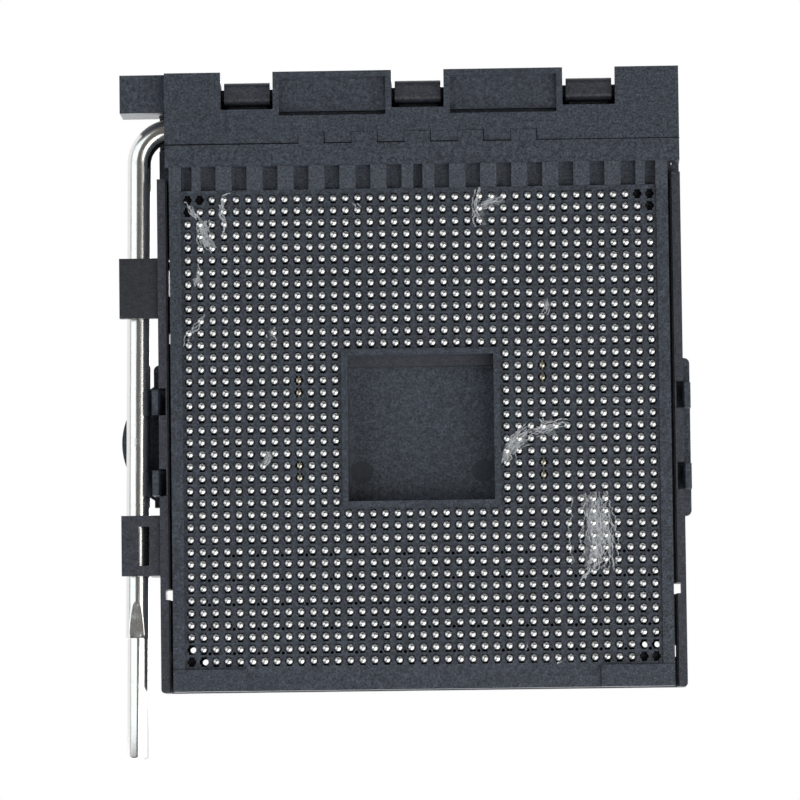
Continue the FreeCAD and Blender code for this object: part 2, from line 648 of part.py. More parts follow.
def bare_contact(site):
    """Contact strip: a folded foot below, barbs that grip the cavity's ends, two fingers above."""
    x, y = site[0] * PITCH, site[1] * PITCH
    foot_z = FIELD_RISE + FOOT_RISE
    half, barb, third = FOOT_WIDTH / 2, CAVITY_LENGTH / 2, FOOT_WIDTH / 6
    barb_z, top = foot_z + BARB_RISE, foot_z + CONTACT_HEIGHT
    neck_z, fork_z = barb_z + BARB_HEIGHT, top - FINGER_HEIGHT
    right = [(half, foot_z), (half, barb_z), (barb, barb_z), (half, neck_z), (half, top), (third, top),
             (third, fork_z)]
    left = [(-py, pz) for py, pz in reversed(right)]
    corners = [Vector(x - CONTACT_THICKNESS / 2, y + py, pz) for py, pz in right + left]
    outline = Part.Face(Part.makePolygon(corners + [corners[0]]))
    strip = outline.extrude(Vector(CONTACT_THICKNESS, 0, 0))
    foot = box(x - FOOT_LENGTH / 2, x + FOOT_LENGTH / 2, y - half, y + half,
               foot_z, foot_z + FOOT_THICKNESS)
    return joined(strip, [foot])


def pieces():
    shapes = {"base_housing": base_housing(), "sliding_cover": sliding_cover(), "lever": lever(),
              "pickup_cap": pickup_cap()}
    for name, span in zip(("lower_wear_plate_far", "lower_wear_plate_lever"), lower_plate_spans()):
        shapes[name] = lower_plate(span)
    for name, x in zip(("upper_wear_plate_far", "upper_wear_plate_middle", "upper_wear_plate_lever"),
                       notch_xs):
        shapes[name] = upper_plate(x)
    shapes["bare_contacts"] = Part.Compound([bare_contact(site) for site in BARE_SITES])
    shapes.update(ball_banks())
    return shapes


os.makedirs("parts", exist_ok=True)
for name, shape in pieces().items():
    shape.exportStep(os.path.join("parts", name + ".step"))
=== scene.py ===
import math
import random

import bmesh
import bpy
import numpy as np
from bpy.props import FloatProperty, FloatVectorProperty, PointerProperty
from mathutils import Matrix, Vector
from mathutils.geometry import tessellate_polygon


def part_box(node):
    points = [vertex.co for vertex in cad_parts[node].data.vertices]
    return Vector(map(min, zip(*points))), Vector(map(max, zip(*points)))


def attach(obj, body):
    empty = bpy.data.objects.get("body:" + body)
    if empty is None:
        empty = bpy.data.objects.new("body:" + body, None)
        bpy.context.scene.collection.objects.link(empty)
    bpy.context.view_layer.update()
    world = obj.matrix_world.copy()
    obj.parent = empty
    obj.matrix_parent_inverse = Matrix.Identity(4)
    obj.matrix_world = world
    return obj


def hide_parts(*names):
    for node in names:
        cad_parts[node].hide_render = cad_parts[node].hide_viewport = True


bl_info = {
    "name": "Pin-grid socket dresser",
    "version": (1, 0, 0),
    "blender": (4, 5, 0),
    "location": "3D View > Sidebar > Socket",
    "description": "Dresses a packed zero-insertion-force socket with its looks",
    "category": "Object",
}

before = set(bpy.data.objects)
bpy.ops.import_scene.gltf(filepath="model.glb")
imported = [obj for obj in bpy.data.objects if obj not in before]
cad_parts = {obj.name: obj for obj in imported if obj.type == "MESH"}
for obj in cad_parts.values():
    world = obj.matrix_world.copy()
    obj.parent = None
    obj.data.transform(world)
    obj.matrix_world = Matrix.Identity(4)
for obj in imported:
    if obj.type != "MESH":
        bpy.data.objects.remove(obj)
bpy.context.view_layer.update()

# All lengths below are in millimetres, and new pieces are scaled to metres when they are made.
MM = 0.001


def low(node, axis):
    """Lower end of a node's box along an axis."""
    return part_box(node)[0][axis] / MM


def high(node, axis):
    """Upper end of a node's box along an axis."""
    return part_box(node)[1][axis] / MM


# Levels: seat plane, tips of the balls, ball field, both faces of the cover and underside of the cap
SEAT_Z = 0.0
BALL_LOW, FIELD_Z = low("solder_balls_front_far", 2), high("solder_balls_front_far", 2)
COVER_UNDER, COVER_Z = 2.15, 3.45
CAP_FLOOR = 3.48

# Sites of the contacts, counted from the middle of the grid at a pitch of one: closed corners, corners
# that are open right through, and contacts without a ball
EDGE = 19
VOID_EDGE = 6
HALF_PITCH = 0.5
FIELD_HALF = EDGE + HALF_PITCH
VOID_HALF = VOID_EDGE + HALF_PITCH
CLOSED_SITES = {(19, 19), (18, 19), (19, 18), (-19, 19), (-18, 19), (-19, 18),
                (19, -19), (-19, -19), (-18, -19)}
OPEN_SITES = {(19, -18), (18, -19), (-19, -18), (-18, -18)}
BARE_SITES = {(-10, 5), (-10, 4), (-10, -3), (-10, -4), (10, 4), (10, 3), (10, -3), (10, -4)}
EMPTY_SITES = CLOSED_SITES | OPEN_SITES | BARE_SITES
SITES = [(i, j) for j in range(-EDGE, EDGE + 1) for i in range(-EDGE, EDGE + 1)
         if abs(i) > VOID_EDGE or abs(j) > VOID_EDGE]
SOLDERED = [site for site in SITES if site not in EMPTY_SITES]

# Mouths of the cavities: shift toward the front and size where solder fills them; floor with a round
# hole in the open corners
CAVITY_SHIFT, FILLED_SHARE = -0.045, 0.97
OPEN_FLOOR_HALF, OPEN_HOLE_SHIFT, OPEN_HOLE_RADIUS = 0.49, -0.10, 0.24

# Rows of the field that carry a line of small core holes, one between each pair of columns
HOLE_ROWS = (-10, -12, -14, -16, -18)
HOLE_DROP, HOLE_RADIUS = 0.35, 0.14

# Solder balls: how far round their skin goes, and how they differ in width, lean and place
BALL_WRAP = math.radians(105)
BALL_FILL, BALL_SWELL = 0.97, (0.94, 1.02)
BALL_LEAN, BALL_WANDER = 0.25, 0.015
BALL_SEED = 7

# Tails of the bare contacts
TAIL_RADIUS, TAIL_DEPTH, TAIL_Z = 0.22, 0.10, 0.46

# Middle and half width along Y of the matt band with the core slots
RIB_BAND = (20.72, 0.98)

# Parting line of the cam head, its crack a painted shadow drawn on the seat plane with the head's face this
# little above it:
# its teeth, the width of the crack along it and its end
SEAM_Y, SEAM_LIFT = 23.55, 0.004
SEAM_TEETH, SEAM_TOOTH, SEAM_TOOTH_PITCH, SEAM_TOOTH_DEPTH = 5, 2.17, 4.37, 0.90
SEAM_OPEN, SEAM_SHUT, SEAM_FAINT = 0.09, 0.06, 0.025
HEAD_SIDE = 20.82

# Row of ejector marks beside the parting line, and the two under the cap
EJECTOR_RADIUS, EJECTOR_ROW = 0.46, 22.62
EJECTOR_COUNT, EJECTOR_PITCH, EJECTOR_SHIFT = 13, 2.99, -0.40
CAP_MARKS_X, CAP_MARKS_Y = (-5.02, 5.02), -3.40
CAP_MARK_RADIUS, CAP_MARK_DEPTH, CAP_MARK_LIFT = 0.94, 0.05, 0.004

# Pin holes of the cover, and the two contact fingers in each: distances from the middle, half breadth
# and depths of both ends under the cover's face
PIN_HOLE_DEPTH = 1.2
FINGER_SPAN, FINGER_HALF, FINGER_DEPTHS = (0.10, 0.20), 0.12, (1.15, 0.55)

# Skirts of the cover: inner face, step on it and the window that interrupts the step
SKIRT_INSIDE, SKIRT_END = 20.83, 20.75
SKIRT_STEP, SKIRT_STEP_Z = 0.13, (0.80, 2.20)
SIDE_WINDOW = (-13.87, -13.00)

# Slits through the cover beside the base, under the lever, where the ground behind shines through
LIGHT_SLIT_X, LIGHT_SLITS = (20.50, 20.715), ((14.10, 14.35), (11.25, 13.45), (7.30, 8.20))

# Rear ear under the lever, whose skin is drawn darker than the rest of the cover
EAR_INSIDE, EAR_SPAN = 21.55, (9.30, 14.35)

# Rounding of the moulded edges, and the angle from which an edge is rounded
BASE_EDGE, COVER_EDGE, STEP_EDGE, CAP_EDGE = 0.05, 0.06, 0.03, 0.06
EDGE_ANGLE = math.radians(40)

# Limits within which a face of a moulding is level, faces the axis and lies in its neighbour's plane
LEVEL_SLACK, FACING, SAME_PLANE = 0.002, 0.99, math.radians(0.5)

# The lever's wire: shaft, its three cranks toward the front and up, bend and splayed arm
WIRE_RADIUS, AROUND = 0.975, 96
SHAFT_Y, SHAFT_Z = 25.06, 2.75
CRANK_MIDDLES = (-14.13, -0.05, 14.03)
CRANK_SHIFT, CRANK_LIFT = -0.40, 0.3665
CRANK_HALF, CRANK_SLOPE, CRANK_RUN_OUT, CRANK_POINTS = 3.45, 1.7, 0.15, 49
ARM_X, ARM_SPLAY = 23.06, math.radians(0.70)
BEND_RADIUS, BEND_STEPS = 2.82, 32

# The lever's grip, coined to eight flats and set a little off the arm's line
GRIP_LENGTH, GRIP_OFFSET = 9.95, -0.08
FLATS, GRIP_HALF_WIDTH, GRIP_CORNER = 8, 0.89, 0.918
GRIP_TURN = math.radians(-23.8)
GRIP_SLACK = 0.01

# The wedge pressed into the arm before the grip, with its bowed end and the limit of its side
WEDGE_LENGTH, WEDGE_STEPS, WEDGE_LEAD = 3.0, 30, 0.02
WEDGE_SIDE = math.radians(-85)
WEDGE_DEPTH, WEDGE_BOW, WEDGE_CURVE, WEDGE_LIMIT = 0.27, 0.9, 0.7, 0.05

# Rounded tip of the lever, and how far past the grip's start and before the tip the wire has a ring
TIP_LENGTH, TIP_ROUNDING = 0.2, 0.22
GRIP_RINGS, TIP_RINGS = (0.02, 0.08), (0.22, 0.10, 0.02)
CREASE = math.radians(60)

# Dried flux: step along a strand, height over the field, spread, drift and sway, breadths of both kinds
FLUX_SEED = 11
FLUX_STEP, FLUX_HEIGHT = 0.12, (0.04, 0.27)
FLUX_SPREAD, FLUX_DRIFT, FLUX_DRIFT_SHARE = 3.2, 0.03, 0.02
FLUX_SWAY, FLUX_WAVES = 0.05, 5
STRAND_BREADTH, FILM_BREADTH = 0.09, 0.45

# Lines of the flux marks on the field, with their widths and counts of strands and films
FLUX_MARKS = [
    ([(19.2, 18.9), (18.4, 17.9), (17.8, 17.1)], 0.30, 7, 0),
    ([(17.8, 17.3), (17.7, 16.4), (17.6, 15.6), (16.9, 14.8)], 0.75, 26, 3),
    ([(18.2, 13.9), (18.2, 12.9), (18.2, 12.1)], 0.16, 3, 0),
    ([(18.3, 12.8), (18.1, 11.9)], 0.65, 7, 3),
    ([(15.5, 19.6), (16.1, 19.1), (16.3, 17.7), (15.9, 17.1), (16.1, 16.0)], 0.30, 10, 0),
    ([(17.8, 9.6), (18.2, 8.6), (19.0, 7.8), (19.1, 7.0)], 0.16, 5, 0),
    ([(12.0, 8.5), (12.3, 7.9), (12.1, 7.1)], 0.30, 6, 1),
    ([(-5.1, 19.7), (-4.8, 18.6), (-4.8, 17.5), (-4.9, 16.5)], 0.35, 11, 1),
    ([(-4.8, 17.8), (-5.9, 18.5), (-7.2, 19.0)], 0.45, 12, 2),
    ([(-6.9, -3.1), (-7.1, -2.0), (-7.9, -1.2), (-9.2, -0.5)], 1.05, 34, 4),
    ([(-8.9, -0.7), (-10.2, -0.1), (-12.0, 0.3)], 0.60, 22, 3),
    ([(-9.7, 0.7), (-10.1, -0.1)], 0.30, 5, 0),
    ([(-14.2, -5.5), (-14.4, -7.8), (-14.6, -10.1), (-14.3, -12.2)], 2.00, 62, 9),
    ([(-13.8, -11.7), (-12.8, -13.0)], 0.35, 8, 1),
    ([(13.2, -1.9), (12.5, -2.1), (12.6, -2.6), (13.2, -3.1)], 0.35, 8, 2),
    ([(-10.4, 10.5), (-10.4, 9.4), (-10.0, 8.9)], 0.30, 7, 2),
    ([(-8.6, -17.6), (-8.3, -18.4), (-8.1, -19.0)], 0.06, 2, 0),
    ([(-10.4, -19.2), (-10.9, -19.5), (-11.6, -19.2)], 0.06, 2, 0),
    ([(5.6, 18.6), (5.1, 18.5), (4.7, 18.0)], 0.12, 3, 0),
]

# Camera that looks up at the ball side, in millimetres and degrees
CAMERA_PLACE = (-10.97, -36.18, -498.3)
CAMERA_TURN = (-175.6105, -1.5094, -179.2966)
CAMERA_LENS, CAMERA_SENSOR = 274.5, 36.0

# Softboxes by direction from the middle of the socket: angle from the camera's line toward the side
# away from the lever, lift toward the cam head, distance, width, height, outline, brightness, tint
SOFTBOXES = [
    ("softbox_lever", -50, 4, 0.60, 0.62, 0.70, "RECTANGLE", 1.25, (0.90, 0.97, 1.0)),
    ("softbox_far", 48, -29, 0.60, 1.10, 0.84, "ELLIPSE", 2.3, (1.0, 0.99, 0.96)),
    ("softbox_front", 20, -72, 0.60, 0.5, 0.3, "RECTANGLE", 1.8, (1.0, 1.0, 1.0)),
    ("softbox_above", 150, 20, 0.70, 0.7, 0.7, "RECTANGLE", 2.6, (1.0, 1.0, 1.0)),
    ("softbox_above_front", -150, -35, 0.70, 0.6, 0.6, "RECTANGLE", 2.2, (1.0, 1.0, 1.0)),
]

# Surround: what lights the plastic, what the metal mirrors, and how it opens to white from bottom to top
ROOM_LIGHT, ROOM_MIRRORED = (0.07, 0.08, 0.10, 1.0), (0.13, 0.118, 0.108, 1.0)
WHITE = (1.0, 1.0, 1.0, 1.0)
OPEN_SIDE = [(0.38, 0.0), (0.55, 1.0)]

# Floor of the studio in metres: half width and distance under the seat plane
FLOOR_HALF, FLOOR_DROP = 3.0, 0.00002


class SocketSizes(bpy.types.PropertyGroup):
    """Sizes of the dressed pieces."""
    ball_width: FloatProperty(name="Ball width", description="Width of one solder ball",
                              default=0.64 * MM, unit="LENGTH")
    cavity_length: FloatProperty(name="Cavity length", description="Length of a cavity's mouth along Y",
                                 default=0.78 * MM, unit="LENGTH")
    cavity_width: FloatProperty(name="Cavity width", description="Width of a cavity's mouth along X",
                                default=0.72 * MM, unit="LENGTH")
    cavity_depth: FloatProperty(name="Cavity depth", description="How far a cavity is open behind its ball",
                                default=0.80 * MM, unit="LENGTH")
    cavity_slot: FloatProperty(name="Cavity slot", description="Width of the slot across a cavity's mouth",
                               default=0.46 * MM, unit="LENGTH")
    pin_hole: FloatProperty(name="Pin hole", description="Width of the hole over each contact",
                            default=0.62 * MM, unit="LENGTH")


class SocketColours(bpy.types.PropertyGroup):
    """Colours of the finishes."""
    base: FloatVectorProperty(name="Base", description="Glass-filled plastic of the housing", subtype="COLOR",
                              default=(0.047, 0.0555, 0.0715), min=0, max=1)
    cover: FloatVectorProperty(name="Cover", description="Plastic of the sliding cover", subtype="COLOR",
                               default=(0.0415, 0.045, 0.0575), min=0, max=1)
    cap: FloatVectorProperty(name="Cap", description="Plastic of the pick-up cap", subtype="COLOR",
                             default=(0.046, 0.057, 0.0745), min=0, max=1)
    steel: FloatVectorProperty(name="Steel", description="Polished wire of the lever", subtype="COLOR",
                               default=(0.80, 0.80, 0.79), min=0, max=1)
    solder: FloatVectorProperty(name="Solder", description="Bright solder of the balls", subtype="COLOR",
                                default=(0.80, 0.81, 0.81), min=0, max=1)
    contact: FloatVectorProperty(name="Contact", description="Plated strip of the contacts", subtype="COLOR",
                                 default=(0.60, 0.56, 0.47), min=0, max=1)
    residue: FloatVectorProperty(name="Residue", description="Dried flux on the ball side", subtype="COLOR",
                                 default=(0.62, 0.64, 0.66), min=0, max=1)


class Wire:
    """An output socket in a material's node tree; arithmetic on it adds Math nodes."""

    def __init__(self, graph, socket):
        self.graph, self.socket = graph, socket

    def math(self, operation, first, second):
        return self.graph.node("ShaderNodeMath", {"operation": operation}, {0: first, 1: second})

    def __add__(self, other):
        return self.math("ADD", self, other)

    def __radd__(self, other):
        return self.math("ADD", other, self)

    def __mul__(self, other):
        return self.math("MULTIPLY", self, other)

    def __rmul__(self, other):
        return self.math("MULTIPLY", other, self)


class Graph:
    """The node tree of one material or world, emptied, with one way to add any node."""

    def __init__(self, owner):
        owner.use_nodes = True
        self.owner, self.tree = owner, owner.node_tree
        self.tree.nodes.clear()

    def node(self, kind, settings=None, values=None, output=0):
        """A node with its settings and its sockets' values or links; gives the output that is asked for."""
        item = self.tree.nodes.new(kind)
        for key, value in (settings or {}).items():
            if key == "stops":
                self.set_stops(item.color_ramp, value)
            else:
                setattr(item, key, value)
        for key, value in (values or {}).items():
            if isinstance(value, Wire):
                self.tree.links.new(value.socket, item.inputs[key])
            else:
                item.inputs[key].default_value = value
        return Wire(self, item.outputs[output]) if len(item.outputs) else item

    @staticmethod
    def set_stops(ramp, stops):
        while len(ramp.elements) > len(stops):
            ramp.elements.remove(ramp.elements[-1])
        while len(ramp.elements) < len(stops):
            ramp.elements.new(1.0)
        for element, (place, level) in zip(ramp.elements, stops):
            element.position = place
            element.color = (level, level, level, 1.0)

    def place(self):
        return self.node("ShaderNodeTexCoord", output="Object")

    def stretched(self, scale):
        return self.node("ShaderNodeMapping", values={"Vector": self.place(), "Scale": scale})

    def noise(self, size_mm, detail=2.0, vector=None):
        """Noise from 0 to 1 whose blotches are about this many millimetres wide."""
        return self.node("ShaderNodeTexNoise", values={
            "Vector": vector or self.place(), "Scale": 1.0 / (size_mm * MM),
            "Detail": detail, "Roughness": 0.6})

    def ramp(self, value, stops):
        return self.node("ShaderNodeValToRGB", {"stops": stops}, {"Fac": value})

    def mix(self, share, first, second):
        return self.node("ShaderNodeMix", {"data_type": "RGBA"},
                         {"Factor": share, 6: first, 7: second}, output=2)

    def bump(self, height, depth_mm, strength=1.0):
        return self.node("ShaderNodeBump", values={"Height": height, "Distance": depth_mm * MM,
                                                   "Strength": strength})

    def surface(self, values):
        """Principled shader with these sockets, joined to the material's output."""
        shader = self.node("ShaderNodeBsdfPrincipled", values=values)
        self.node("ShaderNodeOutputMaterial", values={"Surface": shader})
        return self.owner


def shade(colour, level):
    """The colour, darkened or lightened by a factor, with a full alpha."""
    return tuple(min(1.0, part * level) for part in colour[:3]) + (1.0,)


def moulded_plastic(name, colour, cloud, roughness, pale_band=None):
    """Glass-filled moulding: cloudy tone, a fine grain and a slightly uneven sheen.

    The band, given as its middle and half width along Y in millimetres, is matt and paler.
    """
    graph = Graph(bpy.data.materials.new(name))
    tone = graph.ramp(graph.noise(7.0, 3.0), [(0.30, 0.0), (0.70, 1.0)])
    blotch = graph.ramp(graph.noise(0.50, 3.0), [(0.32, 0.0), (0.68, 1.0)])
    grain = graph.ramp(graph.noise(0.18, 2.0), [(0.35, 0.0), (0.70, 1.0)])
    ground = graph.mix(tone, shade(colour, 0.84), shade(colour, 1.14))
    dull = graph.noise(1.2, 3.0) * 0.14 + (roughness - 0.07)
    if pale_band:
        middle, half = pale_band
        lengthwise = graph.node("ShaderNodeSeparateXYZ", values={0: graph.place()}, output=1)
        inside = graph.node("ShaderNodeMath", {"operation": "COMPARE"},
                            {0: lengthwise, 1: middle * MM, 2: half * MM})
        ground = graph.mix(inside, ground, shade(colour, 1.25))
        dull = dull + inside * 0.15
    clouded = graph.mix(blotch * cloud, ground, shade(colour, 2.6))
    grained = graph.mix(grain * (cloud * 1.6), clouded, shade(colour, 0.25))
    relief = graph.bump(grain + blotch * 0.6, 0.014, 0.7)
    return graph.surface({"Base Color": grained, "Roughness": dull, "Normal": relief})


def polished_wire(name, colour):
    """Drawn and polished steel: faint lines along the wire, small scuffs and handling marks."""
    graph = Graph(bpy.data.materials.new(name))
    lines = graph.noise(1.0, 2.0, graph.stretched((9.0, 0.25, 9.0)))
    scuffs = graph.ramp(graph.noise(0.7, 5.0), [(0.55, 0.0), (0.72, 1.0)])
    tone = graph.mix(scuffs * 0.35, shade(colour, 1.0), shade(colour, 0.82))
    dull = lines * 0.10 + scuffs * 0.10 + 0.14
    relief = graph.bump(lines, 0.006, 0.5)
    return graph.surface({"Base Color": tone, "Metallic": 1.0, "Roughness": dull, "Normal": relief})


def bright_solder(name, colour):
    """Reflowed solder: satin skin with a few shallow dimples and tarnished patches."""
    graph = Graph(bpy.data.materials.new(name))
    frost = graph.noise(0.06, 1.0)
    dimples = graph.noise(0.42, 1.0)
    tarnish = graph.ramp(graph.noise(0.9, 2.0), [(0.40, 0.0), (0.70, 1.0)])
    tone = graph.mix(tarnish * 0.45, shade(colour, 1.0), shade(colour, 0.72))
    dull = frost * 0.08 + tarnish * 0.08 + 0.25
    relief = graph.bump(dimples + frost * 0.05, 0.055, 0.7)
    return graph.surface({"Base Color": tone, "Metallic": 1.0, "Roughness": dull, "Normal": relief})


def rolled_strip(name, colour):
    """Plated strip metal with rolling lines."""
    graph = Graph(bpy.data.materials.new(name))
    lines = graph.noise(0.5, 2.0, graph.stretched((1.0, 1.0, 8.0)))
    tone = graph.mix(lines, shade(colour, 0.80), shade(colour, 1.05))
    return graph.surface({"Base Color": tone, "Metallic": 1.0, "Roughness": lines * 0.15 + 0.25,
                          "Normal": graph.bump(lines, 0.004, 0.5)})


def painted_shade_black(name):
    """Near-black colour that paints the shade in the depth of a cavity, a hole or a crack."""
    graph = Graph(bpy.data.materials.new(name))
    tone = graph.mix(graph.noise(0.2, 1.0), (0.004, 0.004, 0.005, 1.0), (0.012, 0.012, 0.014, 1.0))
    return graph.surface({"Base Color": tone, "Roughness": 0.9, "Specular IOR Level": 0.1})


def dried_flux(name, colour, cover):
    """Whitish crust, broken up so that the plastic shows through it."""
    graph = Graph(bpy.data.materials.new(name))
    patches = graph.ramp(graph.noise(0.30, 4.0), [(0.30, 0.15), (0.65, 1.0)])
    crumbs = graph.noise(0.09, 2.0)
    tone = graph.mix(crumbs, shade(colour, 0.70), shade(colour, 1.25))
    return graph.surface({"Base Color": tone, "Roughness": 0.45, "Alpha": patches * cover,
                          "Normal": graph.bump(crumbs, 0.04)})


FINISHES = {}


def finish(name):
    """The material of that name, made once from the colours in the panel."""
    if name not in FINISHES:
        tints = bpy.context.scene.socket_colours
        makers = {
            "base_plastic": (moulded_plastic, tints.base, 0.56, 0.36, RIB_BAND),
            "worn_plastic": (moulded_plastic, shade(tints.base, 1.15), 0.5, 0.34),
            "cover_plastic": (moulded_plastic, tints.cover, 0.48, 0.38),
            "cap_plastic": (moulded_plastic, tints.cap, 0.60, 0.46),
            "ear_plastic": (moulded_plastic, shade(tints.cover, 0.55), 0.40, 0.42),
            "cap_mark_plastic": (moulded_plastic, shade(tints.cap, 0.58), 0.25, 0.60),
            "lever_steel": (polished_wire, tints.steel),
            "plate_steel": (rolled_strip, shade(tints.steel, 0.8)),
            "contact_metal": (rolled_strip, tints.contact),
            "solder": (bright_solder, tints.solder),
            "recess": (painted_shade_black,),
            "flux": (dried_flux, tints.residue, 0.85),
            "flux_film": (dried_flux, tints.residue, 0.30),
        }
        maker, *values = makers[name]
        FINISHES[name] = maker(name, *values)
    return FINISHES[name]


def square(x0, x1, y0, y1):
    return [(x0, y0), (x1, y0), (x1, y1), (x0, y1)]


def cell(x, y, half):
    return square(x - half, x + half, y - half, y + half)


def ring(x, y, radius, count):
    return [(x + radius * math.cos(2 * math.pi * k / count), y + radius * math.sin(2 * math.pi * k / count))
            for k in range(count)]


class Piece:
    """Corners and faces gathered in millimetres, then made into one object."""

    def __init__(self, name):
        self.name = name
        self.corners, self.faces, self.marks = [], [], []

    def add(self, corners, faces, mark=0):
        """Faces by the numbers of their corners; the mark picks one of the piece's materials."""
        start = len(self.corners)
        self.corners += [tuple(corner) for corner in corners]
        self.faces += [tuple(start + k for k in face) for face in faces]
        self.marks += [mark] * len(faces)

    def patch(self, loops, z, up, mark=0):
        """Flat area at height z inside the first outline and outside the others."""
        flat = [[Vector((x, y, z)) for x, y in loop] for loop in loops]
        corners = [corner for loop in flat for corner in loop]
        faces = []
        for face in tessellate_polygon(flat):
            a, b, c = (corners[k] for k in face)
            turned = ((b - a).cross(c - a).z > 0) == up
            faces.append(tuple(face) if turned else tuple(reversed(face)))
        self.add(corners, faces, mark)

    def well(self, outline, z, floor, mark=0):
        """Side walls and floor of a blind hole that starts at height z."""
        count = len(outline)
        rims = [(x, y, z) for x, y in outline] + [(x, y, floor) for x, y in outline]
        inward = 1 if floor > z else -1
        walls = [(k, (k + 1) % count, (k + 1) % count + count, k + count)[::inward] for k in range(count)]
        self.add(rims, walls, mark)
        self.add([(x, y, floor) for x, y in outline], [tuple(range(count))[::-inward]], mark)

    def block(self, x0, x1, y0, y1, z0, z1):
        corners = [(x, y, z) for z in (z0, z1) for x, y in square(x0, x1, y0, y1)]
        self.add(corners, [(3, 2, 1, 0), (4, 5, 6, 7), (0, 1, 5, 4), (1, 2, 6, 5), (2, 3, 7, 6),
                           (3, 0, 4, 7)])

    def make(self, materials, body, replaced=(), smooth=False):
        mesh = bpy.data.meshes.new(self.name)
        mesh.from_pydata([Vector(corner) * MM for corner in self.corners], [], self.faces)
        for material in materials:
            mesh.materials.append(finish(material))
        mesh.polygons.foreach_set("material_index", self.marks)
        mesh.polygons.foreach_set("use_smooth", [smooth] * len(self.faces))
        mesh.update()
        return settle(mesh, self.name, body, replaced)


def settle(mesh, name, body, replaced=()):
    """The mesh as an object that rides on its body and stands for the nodes it replaces."""
    item = bpy.data.objects.new(name, mesh)
    bpy.context.scene.collection.objects.link(item)
    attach(item, body)
    if replaced:
        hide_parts(*replaced)
    return item


def cavity_outline(x, y, filled=False):
    """Mouth of a contact cavity: a slot along Y crossed by a flat diamond, narrowed where solder fills it."""
    sizes = bpy.context.scene.socket_sizes
    share = FILLED_SHARE if filled else 1.0
    slot, wide, tall = (size * share / MM / 2
                        for size in (sizes.cavity_slot, sizes.cavity_width, sizes.cavity_length))
    quarter = [(slot, tall), (slot, slot), (wide, slot / 2)]
    right = quarter + [(px, -py) for px, py in reversed(quarter)]
    left = [(-px, -py) for px, py in right]
    return [(x + px, y + py) for px, py in right + left]


def split_flat(shape, chosen, axis, place):
    """Cuts these faces of a mesh in the making along a plane square to the axis."""
    parts = set(chosen)
    for face in chosen:
        parts.update(face.edges)
        parts.update(face.verts)
    point, normal = Vector(), Vector()
    point[axis], normal[axis] = place * MM, 1.0
    bmesh.ops.bisect_plane(shape, geom=list(parts), plane_co=point, plane_no=normal, dist=1e-8)


def remove_faces(shape, doomed):
    if not doomed:
        raise RuntimeError("no flat face to open here")
    bmesh.ops.delete(shape, geom=doomed, context="FACES")


def merge_flat(shape):
    bmesh.ops.dissolve_limit(shape, angle_limit=SAME_PLANE, verts=shape.verts, edges=shape.edges)


def bare_mesh(shape, name):
    """Ends the making of a mesh, which has no material yet."""
    mesh = bpy.data.meshes.new(name)
    shape.to_mesh(mesh)
    shape.free()
    mesh.materials.clear()
    return mesh


def cut_slot(mesh, span_x, span_y, span_z):
    """Rectangular slot through a plate whose two flat faces are at the ends of span_z."""
    shape = bmesh.new()
    shape.from_mesh(mesh)

    def plate_faces():
        return [face for face in shape.faces if abs(face.normal.z) > FACING
                and min(abs(face.calc_center_median().z / MM - z) for z in span_z) < LEVEL_SLACK]

    for axis, span in enumerate((span_x, span_y)):
        for place in span:
            split_flat(shape, plate_faces(), axis, place)
    doomed = []
    for face in plate_faces():
        centre = face.calc_center_median() / MM
        if span_x[0] < centre.x < span_x[1] and span_y[0] < centre.y < span_y[1]:
            doomed.append(face)
    remove_faces(shape, doomed)
    corners = square(*span_x, *span_y)
    for (ax, ay), (bx, by) in zip(corners, corners[1:] + corners[:1]):
        wall = [(bx, by, span_z[0]), (ax, ay, span_z[0]), (ax, ay, span_z[1]), (bx, by, span_z[1])]
        shape.faces.new([shape.verts.new(Vector(corner) * MM) for corner in wall])
    shape.to_mesh(mesh)
    shape.free()


def node_shape(node):
    """Copy of a node's mesh, to be reworked."""
    shape = bmesh.new()
    shape.from_mesh(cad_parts[node].data)
    return shape


def opened_copy(node, level, up, name):
    """Copy of a node's mesh with the flat face at this height cut away over the grid."""
    shape = node_shape(node)

    def on_face(face):
        height, facing = face.calc_center_median().z / MM, face.normal.z
        return abs(height - level) < LEVEL_SLACK and (facing > FACING if up else facing < -FACING)

    for axis in (0, 1):
        for place in (-FIELD_HALF, -VOID_HALF, VOID_HALF, FIELD_HALF):
            split_flat(shape, [face for face in shape.faces if on_face(face)], axis, place)
    doomed = []
    for face in shape.faces:
        centre = face.calc_center_median() / MM
        reach = max(abs(centre.x), abs(centre.y))
        if on_face(face) and VOID_HALF < reach < FIELD_HALF:
            doomed.append(face)
    remove_faces(shape, doomed)
    merge_flat(shape)
    return bare_mesh(shape, name)


def soften(item, width_mm):
    """Rounded mould edges, with flat faces kept flat."""
    bevel = item.modifiers.new("mould_edges", "BEVEL")
    bevel.width = width_mm * MM
    bevel.segments = 2
    bevel.limit_method = "ANGLE"
    bevel.angle_limit = EDGE_ANGLE
    bevel.harden_normals = False


def base_moulding():
    """The base housing, open over its ball field, with its seat a little above the marks drawn on it."""
    mesh = opened_copy("base_housing", FIELD_Z, False, "base_moulding")
    mesh.materials.append(finish("base_plastic"))
    for corner in mesh.vertices:
        corner.co.z = max(corner.co.z, SEAM_LIFT * MM)
    soften(settle(mesh, "base_moulding", "base", ["base_housing"]), BASE_EDGE)


def field_row(j):
    """Columns of one row: by twos where a core hole lies between them, one by one elsewhere."""
    columns = [i for i in range(-EDGE, EDGE + 1) if abs(i) > VOID_EDGE or abs(j) > VOID_EDGE]
    width = 2 if j in HOLE_ROWS else 1
    return [columns[k:k + width] for k in range(0, len(columns), width)]


